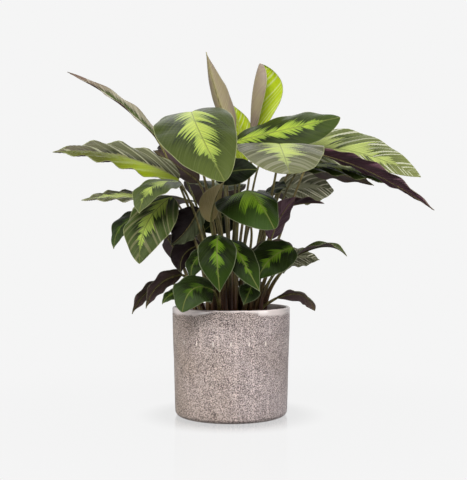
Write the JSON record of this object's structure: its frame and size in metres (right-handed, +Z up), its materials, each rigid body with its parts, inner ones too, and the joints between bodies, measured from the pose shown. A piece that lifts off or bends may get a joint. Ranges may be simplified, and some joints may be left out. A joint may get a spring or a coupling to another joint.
{
  "type": "potted calathea",
  "caption": "Leafy house plant with broad patterned leaves on long stalks, in a grow pot inside a round glazed cover pot.",
  "frame": {"origin": "centre of the cover pot's foot, on the surface that it stands on", "axes": "+Z up, the plant's front faces -Y, +X to the right seen from the front"},
  "size_m": [0.6305, 0.4552, 0.6182],
  "materials": {
    "glaze": "mottled mauve-grey reactive glaze with cream crackle, smoother and paler at the rim",
    "grow_pot_plastic": "matt black",
    "potting_mix": "dark, damp, crumbly",
    "leaf": "satin dark green with a lime feathered middle above, dull purple below",
    "young_leaf": "satin lime and khaki"
  },
  "bodies": {
    "root": {"cover_pot": "glaze", "grow_pot": "grow_pot_plastic", "soil": "potting_mix", "leaf_spear_left": "young_leaf", "leaf_spear_right": "young_leaf", "leaf_spear_low": "young_leaf", "leaf_crown_front_left": "leaf", "leaf_crown_front": "leaf", "leaf_crown_right": "leaf", "leaf_crown_far_left": "leaf", "leaf_side_left": "young_leaf", "leaf_side_right": "leaf", "leaf_side_right_folded": "leaf", "leaf_side_right_under": "leaf", "leaf_left_striped": "leaf", "leaf_left_small": "leaf", "leaf_left_large": "leaf", "leaf_left_behind": "leaf", "leaf_centre": "leaf", "leaf_centre_behind": "leaf", "leaf_centre_curled": "leaf", "leaf_centre_upper": "leaf", "leaf_centre_back": "leaf", "leaf_centre_upright": "leaf", "leaf_right_folded": "leaf", "leaf_right_striped": "leaf", "leaf_low_front_left": "leaf", "leaf_low_front_right": "leaf", "leaf_low_right": "leaf", "leaf_low_right_behind": "leaf", "leaf_low_far_right": "leaf", "leaf_low_striped_right": "leaf", "leaf_low_dark_upper": "leaf", "leaf_low_dark_lower": "leaf", "leaf_purple_left": "leaf", "leaf_rim_right": "leaf", "leaf_rim_left_near": "leaf", "leaf_rim_left_far": "leaf", "leaf_rim_left_upper": "leaf", "leaf_rim_left_lower": "leaf", "leaf_rim_left_dark": "leaf", "leaf_rim_centre": "leaf", "leaf_back_high_left": "leaf", "leaf_back_high_right": "leaf", "leaf_back_upright": "leaf", "leaf_back_middle": "leaf", "leaf_back_side_left": "leaf", "leaf_back_side_right": "leaf", "leaf_back_left": "leaf", "leaf_back_right": "leaf", "leaf_back_low_left": "leaf", "leaf_back_low_middle": "leaf", "leaf_back_low_right": "leaf", "leaf_back_rim_left": "leaf", "leaf_back_rim_right": "leaf"}
  },
  "joints": []
}
